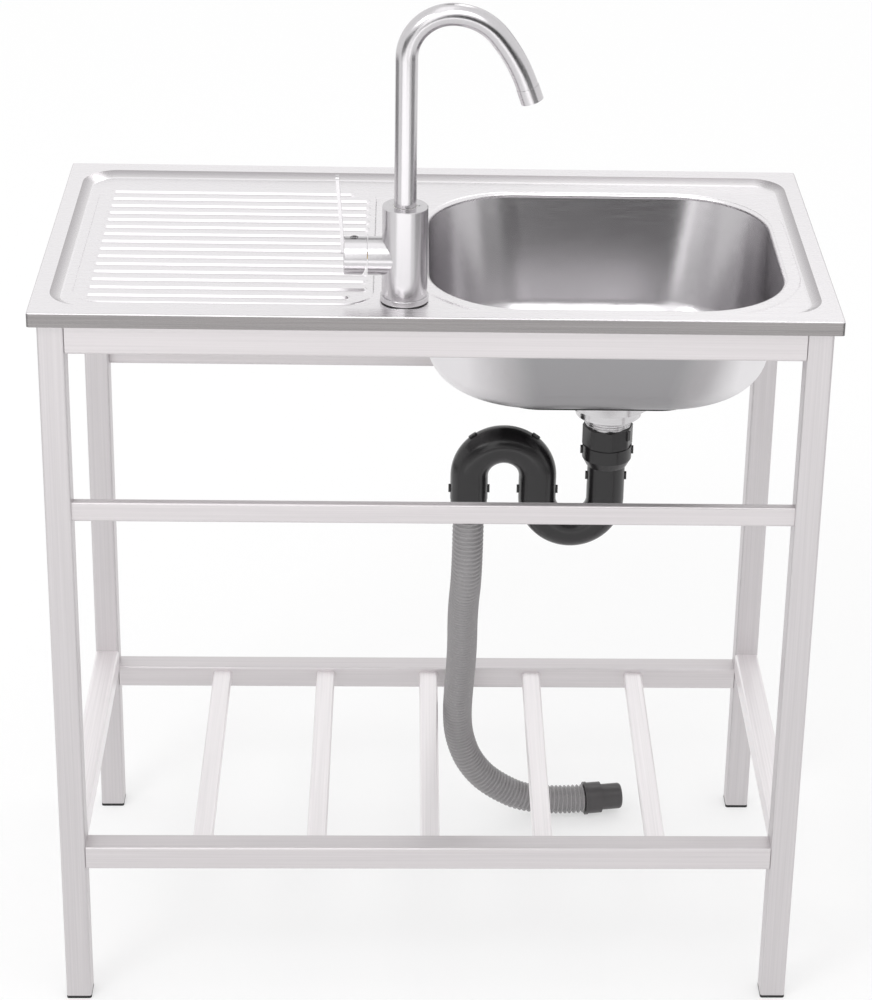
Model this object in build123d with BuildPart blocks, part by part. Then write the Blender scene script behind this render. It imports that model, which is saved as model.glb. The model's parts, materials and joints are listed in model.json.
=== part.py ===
from build123d import *
import math
import os

os.makedirs("parts", exist_ok=True)

# Kitchen sink unit, in millimetres. +Z is up, +X is to the right and +Y is away from the
# person who stands at the sink. The origin is on the floor, below the middle of the deck.

# ---- deck: one pressed sheet with a turned-down hem
DECK_WIDTH = 750.0
DECK_DEPTH = 400.0
DECK_TOP = 760.0
DECK_CORNER = 3.0
HEM_HEIGHT = 14.0
HEM_RETURN = 25.0
HEM_BEND = 1.2
SHEET = 0.8
RIM_SIDE = 16.0
RIM_FRONT = 20.0
RECESS_DEPTH = 5.0
RECESS_SLOPE = 11.0
RECESS_CORNER = 34.0

# ---- drainer: a low raised panel with parallel ribs
PANEL_RISE = 0.9
PANEL_LEFT_MARGIN = 35.0
PANEL_FRONT_MARGIN = 40.0
PANEL_BACK_MARGIN = 55.0
PANEL_TO_BOWL = 52.0
PANEL_CORNER = 30.0
RIB_PITCH = 19.4
RIB_WIDTH = 9.0
RIB_HEIGHT = 1.8
RIB_END_MARGIN = 12.0
RIB_SIDE_MARGIN = 12.0
END_RIB_SHORTER = 22.0
PRESS_SLOPE = 50.0

# ---- bowl, drawn from its own sheet and welded under the deck's rolled edge
BOWL_RIGHT_MARGIN = 43.0
BOWL_Y = -13.0
BOWL_WIDTH = 340.0
BOWL_LENGTH = 304.0
BOWL_CORNER = 90.0
BOWL_DEPTH = 129.0
BOWL_SIDE_TAPER = 4.0
BOWL_LEAN = 4.0
BOWL_FRONT_TAPER = 40.0
BOWL_LOW_CORNER = 110.0
BOWL_FLOOR_RADIUS = 38.0
LIP_RISE = 1.0
LIP_WIDTH = 16.0
ROLL_RADIUS = 4.0
ROLL_DROP = 5.0

# ---- frame of square and flat tube
FRAME_INSET = 8.0
LEG_SIZE = 25.0
TUBE_WALL = 1.2
TUBE_CORNER = 2.5
FOOT_LIP = 3.0
FOOT_PLUG_DEPTH = 14.0
FOOT_WALL = 2.0
TOP_RAIL_HEIGHT = 30.0
TOP_RAIL_DEPTH = 20.0
MIDDLE_RAIL_HEIGHT = 20.0
MIDDLE_RAIL_DEPTH = 10.0
MIDDLE_RAIL_BOTTOM = 542.5
MIDDLE_RAIL_SETBACK = 3.0
SHELF_RAIL_SIZE = 25.0
SHELF_RAIL_BOTTOM = 156.0
SIDE_SHELF_RAIL_BOTTOM = 175.5
SLAT_COUNT = 5
SLAT_WIDTH = 20.0
SLAT_HEIGHT = 10.0
SLAT_DROP = 5.0

# ---- bolts through the legs into threaded inserts in the rail ends
BOLT_RADIUS = 2.5
BOLT_CLEARANCE = 0.25
BOLT_HEAD_RADIUS = 4.75
BOLT_GRIP = 12.0
INSERT_LENGTH = 16.0
PLUG_GAP = 0.1

# ---- strainer in the bowl's floor
DRAIN_OFFSET = 12.0
CUP_RADIUS = 43.0
CUP_WALL = 0.9
CUP_DEPTH = 34.0
FLANGE_WIDTH = 13.0
FLANGE_THICKNESS = 1.2
FLANGE_BEVEL = 1.0
SEAL_THICKNESS = 0.8
GASKET_THICKNESS = 3.0
LOCK_RING_WIDTH = 11.0
LOCK_RING_HEIGHT = 12.0
LOCK_RING_LUGS = 8
NECK_RADIUS = 33.0
NECK_HEIGHT = 12.5
NECK_CONE = 2.5
OUTLET_RADIUS = 22.3
OUTLET_WALL = 2.0
OUTLET_LENGTH = 21.0
PAD_WIDTH = 200.0
PAD_LENGTH = 184.0
PAD_CORNER = 45.0
PAD_THICKNESS = 2.5
BASKET_GAP = 0.9
BASKET_HEIGHT = 26.0
BASKET_HOLE_RADIUS = 2.0
BASKET_RING_PITCH = 8.0
KNOB_RADIUS = 7.0
KNOB_THICKNESS = 5.0
KNOB_RISE = 13.0
KNOB_STEM_RADIUS = 3.0

# ---- trap of black plastic pipe
NUT_RADIUS = 25.8
NUT_SIDES = 8
NUT_TURN = 3.5
NUT_ENGAGED = 10.0
NUT_LIP = 4.0
NUT_GROOVE = 0.9
LUG_WIDTH = 4.0
LUG_RISE = 1.4
LUG_TURN = -41.5
SKIRT_RADIUS = 24.9
SKIRT_HEIGHT = 15.0
SKIRT_CONE = 8.0
SKIRT_WALL = 1.6
PIPE_RADIUS = 19.0
PIPE_WALL = 2.5
PIPE_FLANGE = 3.0
BEND_RADIUS = 34.5
INLET_LENGTH = 68.0
BEND_DROP = 0.6
CROWN_RISE = 23.2
CROWN_DROP = 27.2
SPIGOT_LENGTH = 10.0
SPIGOT_WALL = 1.4
SPIGOT_GAP = 0.1
LEG_END_ROUND = 1.6
PEG_HEIGHT = 9.0
PEG_WIDTH = 4.0
PEG_ROOT = 0.7
PEG_RISE = 1.8
PEG_LEVEL = 12.0
CROWN_PEG_TURN = 36.0
WASHER_THICKNESS = 3.0
CUFF_RADIUS = 18.5
CUFF_LENGTH = 19.0

# ---- ribbed drain hose, which hangs from the cuff, passes the shelf and ends by the floor
HOSE_RADIUS = 16.0
HOSE_VALLEY = 14.5
HOSE_BORE = 12.5
HOSE_PITCH = 5.0
HOSE_FIRST_RUN = 65.0
HOSE_CORNER_SHARE = 0.45
CONNECTOR_RADIUS = 18.5
CONNECTOR_BEAD = 3.0
CONNECTOR_STEP = 1.0
CONNECTOR_LENGTH = 19.0
NOZZLE_RADIUS = 14.5
NOZZLE_LENGTH = 24.0
NOZZLE_WALL = 4.5
NOZZLE_ROUND = 3.5

# ---- tap
TAP_TO_BOWL = 23.5
TAP_FRONT_MARGIN = 54.0
TAP_HOLE_RADIUS = 17.5
TAP_GASKET = 1.2
TAP_RING_HEIGHT = 5.0
TAP_RING_STEP = 1.4
TAP_RADIUS = 21.2
TAP_HEIGHT = 87.4
SHANK_RADIUS = 14.0
SHANK_WALL = 1.4
SHANK_LENGTH = 70.0
SHANK_ENGAGED = 14.0
INLET_HOLE_RADIUS = 4.5
INLET_HOLE_SPREAD = 5.9
INLET_HOLE_DEPTH = 16.0
UNDER_WASHER_RADIUS = 23.0
RUBBER_WASHER = 3.0
STEEL_WASHER = 1.5
LOCK_NUT_RADIUS = 22.0
LOCK_NUT_HEIGHT = 11.0
SPOUT_RADIUS = 10.25
SPOUT_WALL = 1.0
SPOUT_END_WALL = 2.9
SPOUT_END_LENGTH = 34.0
SPOUT_SEAT_DEPTH = 36.6
BUSH_WALL = 1.0
BUSH_DROP = 0.3
RUNNING_GAP = 0.05
SPOUT_RISE = 141.4
ARCH_NEAR_RADIUS = 41.5
ARCH_FAR_RADIUS = 53.0
ARCH_FAR_TURN = 51.0
ARCH_LOW_RADIUS = 160.0
OUTLET_TURN = 70.5
AERATOR_STEP = 0.45
AERATOR_LENGTH = 14.0
AERATOR_WALL = 1.6
AERATOR_INSERT = 3.0
AERATOR_HOLE = 0.9
AERATOR_HOLE_PITCH = 2.6
AERATOR_HOLE_ROWS = 5
RING_GROOVE = 2.4
RING_WIRE = 1.05
RING_HEIGHTS = (8.0, 22.0)
SCREW_RADIUS = 1.4
SCREW_LENGTH = 6.0

# ---- tap's side branch, cartridge and handle, measured outwards from the tap's axis
BRANCH_HEIGHT = 37.8
BRANCH_RADIUS = 18.0
BRANCH_END = 33.9
CARTRIDGE_RADIUS = 12.5
CARTRIDGE_LENGTH = 14.0
CARTRIDGE_TOP = 28.5
CARRIER_RADIUS = 8.0
CARRIER_LENGTH = 7.8
RETAINER_RADIUS = 14.9
RETAINER_BORE = 9.5
RETAINER_GAP = 0.2
HUB_GAP = 0.8
HUB_LENGTH = 21.5
HUB_WALL = 3.5
HUB_HOLLOW = 10.0
HUB_EDGE = 1.0
STEM_SIZE = 5.0
STEM_PIN_RADIUS = 1.0
STEM_PIN_LENGTH = 12.0
STEM_INNER = 21.7
STEM_OUTER = 48.5
PIVOT = 24.5
LEVER_TILT = 16.0
TILT_GAP = 0.3
BLADE_THICKNESS = 3.0
BLADE_WIDTH = 9.0
BLADE_OVERLAP = 16.0
BLADE_LENGTH = 60.0
BLADE_LEAN = 4.4
BLADE_ROUND = 2.7
HANDLE_SCREW_RADIUS = 2.0
HEX_SHARE = 0.6
HEX_DEPTH = 1.2

# ---- levels, places and spans that follow from the sizes above
FRAME_TOP = DECK_TOP - HEM_HEIGHT
RECESS_FLOOR = DECK_TOP - RECESS_DEPTH
PANEL_TOP = RECESS_FLOOR + PANEL_RISE
LIP_TOP = RECESS_FLOOR + LIP_RISE
BOWL_TOP = LIP_TOP - ROLL_DROP
BOWL_FLOOR = LIP_TOP - BOWL_DEPTH
BOWL_X = DECK_WIDTH / 2 - BOWL_RIGHT_MARGIN - BOWL_WIDTH / 2
BOWL_LEFT = BOWL_X - BOWL_WIDTH / 2
DRAIN_X = BOWL_X + DRAIN_OFFSET
DRAIN_Y = BOWL_Y
TAP_X = BOWL_LEFT - TAP_TO_BOWL
TAP_Y = -DECK_DEPTH / 2 + TAP_FRONT_MARGIN
LEG_X = DECK_WIDTH / 2 - FRAME_INSET - LEG_SIZE / 2
LEG_Y = DECK_DEPTH / 2 - FRAME_INSET - LEG_SIZE / 2
FACE_X = LEG_X + LEG_SIZE / 2
FACE_Y = LEG_Y + LEG_SIZE / 2
SPAN_X = 2 * LEG_X - LEG_SIZE
SPAN_Y = 2 * LEG_Y - LEG_SIZE
TOP_RAIL_Z = FRAME_TOP - TOP_RAIL_HEIGHT / 2
SHELF_RAIL_Z = SHELF_RAIL_BOTTOM + SHELF_RAIL_SIZE / 2
SIDE_SHELF_RAIL_Z = SIDE_SHELF_RAIL_BOTTOM + SHELF_RAIL_SIZE / 2
SLAT_Z = SHELF_RAIL_BOTTOM + SHELF_RAIL_SIZE - SLAT_DROP - SLAT_HEIGHT / 2
SLAT_SPAN = 2 * (FACE_Y - SHELF_RAIL_SIZE)
CORNERS = ((-1, -1, "front_left"), (1, -1, "front_right"), (-1, 1, "rear_left"), (1, 1, "rear_right"))


def keep(part, name):
    """Label a finished piece and write it to its own file."""
    part.label = name
    export_step(part, f"parts/{name}.step")


def along_x(y, z, start):
    """A plane for a profile that runs to the right from x = start."""
    return Plane(origin=(start, y, z), x_dir=(0, 1, 0), z_dir=(1, 0, 0))


def along_y(x, z, start):
    """A plane for a profile that runs backwards from y = start."""
    return Plane(origin=(x, start, z), x_dir=(1, 0, 0), z_dir=(0, 1, 0))


def rectangular_tube(plane, width, height, length):
    """A tube whose profile lies in the plane."""
    with BuildPart() as tube:
        with BuildSketch(plane):
            RectangleRounded(width, height, TUBE_CORNER)
            RectangleRounded(width - 2 * TUBE_WALL, height - 2 * TUBE_WALL, TUBE_CORNER / 2,
                             mode=Mode.SUBTRACT)
        extrude(amount=length)
    return tube.part


def ring_piece(x, y, inner, outer, low, high):
    """An upright ring or round tube between two heights."""
    with BuildPart() as ring:
        with BuildSketch(Plane.XY.offset(low)):
            with Locations((x, y)):
                Circle(outer)
                Circle(inner, mode=Mode.SUBTRACT)
        extrude(amount=high - low)
    return ring.part


def turned(x, y, points):
    """A solid of revolution about an upright axis, from (radius, height) points."""
    with BuildPart() as solid:
        with BuildSketch(Plane.XZ.offset(-y)):
            with BuildLine():
                Polyline(*[(x + radius, height) for radius, height in points], close=True)
            make_face()
        revolve(axis=Axis((x, y, 0), (0, 0, 1)))
    return solid.part


# ==== Frame ====

# The bolted rails: middle line in Y, middle height, profile depth and profile height.
BOLTED_RAILS = {
    "top": (FACE_Y - TOP_RAIL_DEPTH / 2, TOP_RAIL_Z, TOP_RAIL_DEPTH, TOP_RAIL_HEIGHT),
    "middle": (FACE_Y - MIDDLE_RAIL_SETBACK - MIDDLE_RAIL_DEPTH / 2,
               MIDDLE_RAIL_BOTTOM + MIDDLE_RAIL_HEIGHT / 2, MIDDLE_RAIL_DEPTH, MIDDLE_RAIL_HEIGHT),
    "shelf": (FACE_Y - SHELF_RAIL_SIZE / 2, SHELF_RAIL_Z, SHELF_RAIL_SIZE, SHELF_RAIL_SIZE),
}

# Legs, each with three pairs of bolt holes, countersunk on the outer face.
leg_tube = rectangular_tube(Plane.XY.offset(FOOT_LIP), LEG_SIZE, LEG_SIZE, FRAME_TOP - FOOT_LIP)
for side_x, side_y, corner in CORNERS:
    with BuildPart() as leg:
        with Locations((side_x * LEG_X, side_y * LEG_Y, 0)):
            add(leg_tube)
        for rail_y, rail_z, _, _ in BOLTED_RAILS.values():
            with Locations(Plane(origin=(side_x * FACE_X, side_y * rail_y, rail_z),
                                 z_dir=(side_x, 0, 0))):
                CounterSinkHole(BOLT_RADIUS + BOLT_CLEARANCE, BOLT_HEAD_RADIUS + BOLT_CLEARANCE,
                                depth=LEG_SIZE, counter_sink_angle=90)
    keep(leg.part, f"{corner}_leg")

# Foot plugs: a lip that the leg stands on and a hollow plug inside the leg.
plug_size = LEG_SIZE - 2 * TUBE_WALL - 2 * PLUG_GAP
plug_corner = TUBE_CORNER / 2
foot_places = [(side_x * LEG_X, side_y * LEG_Y) for side_x, side_y, _ in CORNERS]
with BuildPart() as foot_plugs:
    with BuildSketch():
        with Locations(*foot_places):
            RectangleRounded(LEG_SIZE, LEG_SIZE, TUBE_CORNER)
    extrude(amount=FOOT_LIP)
    with BuildSketch(Plane.XY.offset(FOOT_LIP)):
        with Locations(*foot_places):
            RectangleRounded(plug_size, plug_size, plug_corner)
            Rectangle(plug_size - 2 * FOOT_WALL, plug_size - 2 * FOOT_WALL, mode=Mode.SUBTRACT)
    extrude(amount=FOOT_PLUG_DEPTH)
keep(foot_plugs.part, "foot_plugs")

# Rails that run left to right, front and rear.
for kind, (rail_y, rail_z, depth, height) in BOLTED_RAILS.items():
    for side_y, face in ((-1, "front"), (1, "rear")):
        keep(rectangular_tube(along_x(side_y * rail_y, rail_z, -SPAN_X / 2), depth, height, SPAN_X),
             f"{face}_{kind}_rail")

# Rails that run front to back, left and right, welded to their legs.
for side_x, face in ((-1, "left"), (1, "right")):
    top_place = along_y(side_x * (FACE_X - TOP_RAIL_DEPTH / 2), TOP_RAIL_Z, -SPAN_Y / 2)
    keep(rectangular_tube(top_place, TOP_RAIL_DEPTH, TOP_RAIL_HEIGHT, SPAN_Y), f"{face}_top_rail")
    shelf_place = along_y(side_x * (FACE_X - SHELF_RAIL_SIZE / 2), SIDE_SHELF_RAIL_Z, -SPAN_Y / 2)
    keep(rectangular_tube(shelf_place, SHELF_RAIL_SIZE, SHELF_RAIL_SIZE, SPAN_Y),
         f"{face}_shelf_rail")

# Shelf slats, evenly spaced between the side rails.
slat_pitch = SPAN_X / (SLAT_COUNT + 1)
for number in range(SLAT_COUNT):
    slat_x = (number - (SLAT_COUNT - 1) / 2) * slat_pitch
    keep(rectangular_tube(along_y(slat_x, SLAT_Z, -SLAT_SPAN / 2), SLAT_WIDTH, SLAT_HEIGHT, SLAT_SPAN),
         f"shelf_slat_{number + 1}")

# Inserts: blocks pressed into the rail ends, each with a threaded bore.
for kind, (rail_y, rail_z, depth, height) in BOLTED_RAILS.items():
    ends = [Plane(origin=(sx * SPAN_X / 2, sy * rail_y, rail_z), x_dir=(0, 1, 0), z_dir=(-sx, 0, 0))
            for sx, sy, _ in CORNERS]
    block_depth = depth - 2 * TUBE_WALL - 2 * PLUG_GAP
    block_height = height - 2 * TUBE_WALL - 2 * PLUG_GAP
    with BuildPart() as inserts:
        with BuildSketch(*ends):
            RectangleRounded(block_depth, block_height, plug_corner)
            Circle(BOLT_RADIUS + RUNNING_GAP, mode=Mode.SUBTRACT)
        extrude(amount=INSERT_LENGTH)
    keep(inserts.part, f"{kind}_rail_inserts")

# Bolts: a flush countersunk head with a hex socket and a plain shank for the thread.
bolt_end = -(LEG_SIZE + BOLT_GRIP)
with BuildPart() as rail_bolt:
    add(turned(0, 0, [
        (0, 0), (BOLT_HEAD_RADIUS, 0), (BOLT_RADIUS, BOLT_RADIUS - BOLT_HEAD_RADIUS),
        (BOLT_RADIUS, bolt_end), (0, bolt_end)]))
    with BuildSketch():
        RegularPolygon(BOLT_RADIUS * HEX_SHARE, 6)
    extrude(amount=-HEX_DEPTH, mode=Mode.SUBTRACT)

bolt_seats = [Plane(origin=(sx * FACE_X, sy * rail_y, rail_z), z_dir=(sx, 0, 0))
              for rail_y, rail_z, _, _ in BOLTED_RAILS.values() for sx, sy, _ in CORNERS]
with BuildPart() as rail_bolts:
    with Locations(*bolt_seats):
        add(rail_bolt.part)
keep(rail_bolts.part, "rail_bolts")


# ==== Sink deck ====

def recess_volume(drop):
    """The pressed recess as a solid, lowered by drop."""
    top_width = DECK_WIDTH - 2 * RIM_SIDE
    top_length = DECK_DEPTH - 2 * RIM_FRONT
    with BuildPart() as volume:
        with BuildSketch(Plane.XY.offset(RECESS_FLOOR - drop)):
            RectangleRounded(top_width - 2 * RECESS_SLOPE, top_length - 2 * RECESS_SLOPE,
                             RECESS_CORNER - RECESS_SLOPE)
        with BuildSketch(Plane.XY.offset(DECK_TOP - drop)):
            RectangleRounded(top_width, top_length, RECESS_CORNER)
        loft()
    return volume.part


def pressed(outline, base, rise):
    """A low raised pad with sloping edges, as pressed in sheet."""
    with BuildPart() as volume:
        extrude(outline.moved(Location((0, 0, base))), amount=rise, taper=PRESS_SLOPE)
    return volume.part


def bowl_outline(grow):
    """The bowl's opening seen from above, grown all round."""
    with BuildSketch() as outline:
        with Locations((BOWL_X, BOWL_Y)):
            RectangleRounded(BOWL_WIDTH + 2 * grow, BOWL_LENGTH + 2 * grow, BOWL_CORNER + grow)
    return outline.sketch


def rolled_edge(grow, radius, base, top, width):
    """A ring round the bowl's opening whose upper inner edge is rounded."""
    with BuildPart() as ring:
        extrude((bowl_outline(grow + width) - bowl_outline(grow)).moved(Location((0, 0, base))),
                amount=top - base)
        fillet(ring.faces().sort_by(Axis.Z)[-1].inner_wires()[0].edges(), radius=radius)
    return ring.part


panel_left = -DECK_WIDTH / 2 + PANEL_LEFT_MARGIN
panel_right = BOWL_LEFT - PANEL_TO_BOWL
panel_front = -DECK_DEPTH / 2 + PANEL_FRONT_MARGIN
panel_back = DECK_DEPTH / 2 - PANEL_BACK_MARGIN
panel_middle = (panel_front + panel_back) / 2
with BuildSketch() as panel_outline:
    with Locations(((panel_left + panel_right) / 2, panel_middle)):
        RectangleRounded(panel_right - panel_left, panel_back - panel_front, PANEL_CORNER)

pressings = [(panel_outline.sketch, RECESS_FLOOR, PANEL_RISE),
             (bowl_outline(LIP_WIDTH), RECESS_FLOOR, LIP_RISE)]
rib_count = int((panel_back - panel_front - 2 * RIB_END_MARGIN) / RIB_PITCH) + 1
for number in range(rib_count):
    rib_y = panel_middle + (number - (rib_count - 1) / 2) * RIB_PITCH
    at_end = number in (0, rib_count - 1)
    rib_left = panel_left + RIB_SIDE_MARGIN
    rib_right = panel_right - (END_RIB_SHORTER if at_end else RIB_SIDE_MARGIN / 2)
    with BuildSketch() as rib_outline:
        with Locations(((rib_left + rib_right) / 2, rib_y)):
            SlotOverall(rib_right - rib_left, RIB_WIDTH)
    pressings.append((rib_outline.sketch, PANEL_TOP, RIB_HEIGHT))

with BuildPart() as sink_deck:
    # Outer block with its softened edge.
    with BuildSketch(Plane.XY.offset(FRAME_TOP)):
        RectangleRounded(DECK_WIDTH, DECK_DEPTH, DECK_CORNER)
    extrude(amount=HEM_HEIGHT)
    fillet(sink_deck.faces().sort_by(Axis.Z)[-1].edges(), radius=HEM_BEND)
    # Hollow behind the hem, which leaves the return that lies on the frame.
    with BuildSketch(Plane.XY.offset(FRAME_TOP + SHEET)):
        RectangleRounded(DECK_WIDTH - 2 * SHEET, DECK_DEPTH - 2 * SHEET, DECK_CORNER - SHEET)
    extrude(amount=HEM_HEIGHT - 2 * SHEET, mode=Mode.SUBTRACT)
    with BuildSketch(Plane.XY.offset(FRAME_TOP)):
        Rectangle(DECK_WIDTH - 2 * HEM_RETURN, DECK_DEPTH - 2 * HEM_RETURN)
    extrude(amount=SHEET, mode=Mode.SUBTRACT)
    # Recess: the same volume added one sheet lower and then cut.
    add(recess_volume(SHEET))
    add(recess_volume(0), mode=Mode.SUBTRACT)
    # Drainer panel, the lip round the bowl and the ribs, pressed up from below.
    for outline, base, rise in pressings:
        add(pressed(outline, base, rise))
    for outline, base, rise in pressings:
        add(pressed(outline, base - SHEET, rise), mode=Mode.SUBTRACT)
    # Bowl opening with its rolled edge.
    extrude(bowl_outline(ROLL_DROP).moved(Location((0, 0, BOWL_TOP))), amount=HEM_HEIGHT,
            mode=Mode.SUBTRACT)
    add(rolled_edge(0, ROLL_RADIUS, BOWL_TOP, LIP_TOP, ROLL_DROP))
    add(rolled_edge(SHEET, ROLL_RADIUS - SHEET, BOWL_TOP - SHEET, LIP_TOP - SHEET, ROLL_DROP),
        mode=Mode.SUBTRACT)
    # Hole for the tap.
    with Locations((TAP_X, TAP_Y, DECK_TOP)):
        Hole(TAP_HOLE_RADIUS, depth=HEM_HEIGHT)
keep(sink_deck.part, "sink_deck")


# ==== Bowl ====

def bowl_volume(grow):
    """The bowl's hollow, larger by grow on every side but its top."""
    with BuildPart() as volume:
        with BuildSketch(Plane.XY.offset(BOWL_TOP)):
            with Locations((BOWL_X, BOWL_Y)):
                RectangleRounded(BOWL_WIDTH + 2 * grow, BOWL_LENGTH + 2 * grow, BOWL_CORNER + grow)
        with BuildSketch(Plane.XY.offset(BOWL_FLOOR - grow)):
            with Locations((BOWL_X - BOWL_LEAN, BOWL_Y)):
                RectangleRounded(BOWL_WIDTH - 2 * BOWL_SIDE_TAPER + 2 * grow,
                                 BOWL_LENGTH - 2 * BOWL_FRONT_TAPER + 2 * grow,
                                 BOWL_LOW_CORNER + grow)
        loft()
        fillet(volume.edges().group_by(Axis.Z)[0], radius=BOWL_FLOOR_RADIUS + grow)
    return volume.part


with BuildPart() as sink_bowl:
    add(bowl_volume(SHEET))
    add(bowl_volume(0), mode=Mode.SUBTRACT)
    with Locations((DRAIN_X, DRAIN_Y, BOWL_FLOOR)):
        Hole(CUP_RADIUS + PLUG_GAP, depth=HEM_HEIGHT)
keep(sink_bowl.part, "sink_bowl")

bowl_underside = BOWL_FLOOR - SHEET
lock_ring_radius = CUP_RADIUS + LOCK_RING_WIDTH
# Sound-deadening pad: a soft sheet that follows the bowl's underside round the strainer.
with BuildPart() as sound_deadening_pad:
    add(bowl_volume(SHEET + PAD_THICKNESS))
    add(bowl_volume(SHEET + PLUG_GAP), mode=Mode.SUBTRACT)
    with BuildSketch(Plane.XY.offset(bowl_underside - PAD_THICKNESS)):
        with Locations((BOWL_X - BOWL_LEAN, BOWL_Y)):
            RectangleRounded(PAD_WIDTH, PAD_LENGTH, PAD_CORNER)
        with Locations((DRAIN_X, DRAIN_Y)):
            Circle(lock_ring_radius + PAD_THICKNESS, mode=Mode.SUBTRACT)
    extrude(amount=BOWL_FLOOR_RADIUS, mode=Mode.INTERSECT)
keep(sound_deadening_pad.part, "sound_deadening_pad")


# ==== Strainer ====

cup_hole = CUP_RADIUS + PLUG_GAP
cup_bore = CUP_RADIUS - CUP_WALL
flange_radius = CUP_RADIUS + FLANGE_WIDTH
flange_bottom = BOWL_FLOOR + SEAL_THICKNESS
flange_top = flange_bottom + FLANGE_THICKNESS
cup_bottom = BOWL_FLOOR - CUP_DEPTH
neck_bottom = cup_bottom - NECK_HEIGHT
cone_bottom = neck_bottom - NECK_CONE
outlet_bottom = cone_bottom - OUTLET_LENGTH
outlet_bore = OUTLET_RADIUS - OUTLET_WALL
keep(ring_piece(DRAIN_X, DRAIN_Y, cup_hole, flange_radius - FLANGE_BEVEL, BOWL_FLOOR, flange_bottom),
     "strainer_flange_seal")

# Strainer body: flange, cup, round neck and threaded outlet in one turned piece.
keep(turned(DRAIN_X, DRAIN_Y, [
    (flange_radius, flange_bottom), (flange_radius - FLANGE_BEVEL, flange_top),
    (cup_bore + FLANGE_BEVEL, flange_top), (cup_bore, flange_top - FLANGE_BEVEL),
    (cup_bore, cup_bottom + CUP_WALL),
    (NECK_RADIUS - CUP_WALL, cup_bottom + CUP_WALL), (NECK_RADIUS - CUP_WALL, neck_bottom),
    (outlet_bore, cone_bottom + CUP_WALL), (outlet_bore, outlet_bottom),
    (OUTLET_RADIUS, outlet_bottom), (OUTLET_RADIUS, cone_bottom), (NECK_RADIUS, neck_bottom),
    (NECK_RADIUS, cup_bottom), (CUP_RADIUS, cup_bottom), (CUP_RADIUS, flange_bottom)]),
    "strainer_body")

gasket_bottom = bowl_underside - GASKET_THICKNESS
keep(ring_piece(DRAIN_X, DRAIN_Y, cup_hole, lock_ring_radius, gasket_bottom, bowl_underside),
     "strainer_gasket")

# Lock nut of the strainer: a ring with eight grip lugs.
with BuildPart() as strainer_lock_nut:
    with BuildSketch(Plane.XY.offset(gasket_bottom - LOCK_RING_HEIGHT)):
        with Locations((DRAIN_X, DRAIN_Y)):
            Circle(lock_ring_radius - LUG_WIDTH)
            with PolarLocations(lock_ring_radius - LUG_WIDTH, LOCK_RING_LUGS):
                Rectangle(2 * LUG_WIDTH, 2 * LUG_WIDTH)
            Circle(cup_hole, mode=Mode.SUBTRACT)
    extrude(amount=LOCK_RING_HEIGHT)
keep(strainer_lock_nut.part, "strainer_lock_nut")

# Basket: a perforated cup with a knob, which lifts out of the strainer body.
basket_radius = cup_bore - BASKET_GAP
basket_bottom = flange_top - BASKET_GAP - BASKET_HEIGHT
with BuildPart() as strainer_basket:
    with BuildSketch(Plane.XY.offset(basket_bottom)):
        with Locations((DRAIN_X, DRAIN_Y)):
            Circle(basket_radius)
    extrude(amount=BASKET_HEIGHT)
    fillet(strainer_basket.edges().group_by(Axis.Z)[0], radius=BASKET_HOLE_RADIUS)
    with BuildSketch(Plane.XY.offset(basket_bottom + CUP_WALL)):
        with Locations((DRAIN_X, DRAIN_Y)):
            Circle(basket_radius - CUP_WALL)
    extrude(amount=BASKET_HEIGHT, mode=Mode.SUBTRACT)
    with Locations((DRAIN_X, DRAIN_Y, basket_bottom + CUP_WALL)):
        for ring in range(2, int(basket_radius / BASKET_RING_PITCH) + 1):
            with PolarLocations(ring * BASKET_RING_PITCH - BASKET_HOLE_RADIUS, 6 * ring):
                Hole(BASKET_HOLE_RADIUS, depth=CUP_WALL)
    with BuildSketch(Plane.XY.offset(basket_bottom)):
        with Locations((DRAIN_X, DRAIN_Y)):
            Circle(KNOB_STEM_RADIUS)
    extrude(amount=BASKET_HEIGHT + KNOB_RISE)
    with BuildSketch(Plane.XY.offset(basket_bottom + BASKET_HEIGHT + KNOB_RISE - KNOB_THICKNESS)):
        with Locations((DRAIN_X, DRAIN_Y)):
            Circle(KNOB_RADIUS)
    extrude(amount=KNOB_THICKNESS)
    fillet(strainer_basket.edges().group_by(Axis.Z)[-1], radius=KNOB_THICKNESS / 4)
keep(strainer_basket.part, "strainer_basket")


# ==== Trap ====

pipe_bore = PIPE_RADIUS - PIPE_WALL
pipe_pass = PIPE_RADIUS + PLUG_GAP
spigot_radius = pipe_bore + SPIGOT_WALL
socket_radius = spigot_radius + SPIGOT_GAP
inlet_top = outlet_bottom - WASHER_THICKNESS
nut_top = outlet_bottom + NUT_ENGAGED
nut_bottom = inlet_top - PIPE_FLANGE - NUT_LIP
skirt_top = nut_bottom - NUT_GROOVE
skirt_bottom = nut_bottom - SKIRT_HEIGHT
bend_joint = inlet_top - INLET_LENGTH
bend_centre = bend_joint - BEND_DROP
crown_centre = bend_joint + CROWN_RISE
cuff_joint = crown_centre - CROWN_DROP
cuff_bottom = cuff_joint - CUFF_LENGTH
middle_leg = DRAIN_X - 2 * BEND_RADIUS
hose_leg = DRAIN_X - 4 * BEND_RADIUS


def side_pegs(x, z, radius):
    """Two moulded pegs, on the left and right of an upright pipe."""
    with BuildPart() as pegs:
        for side in (-1, 1):
            root = Plane(origin=(x + side * (radius - PEG_ROOT), DRAIN_Y, z), x_dir=(0, 1, 0),
                         z_dir=(side, 0, 0))
            with BuildSketch(root):
                SlotOverall(PEG_HEIGHT, PEG_WIDTH, rotation=90)
            extrude(amount=PEG_ROOT + PEG_RISE)
    return pegs.part


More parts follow.
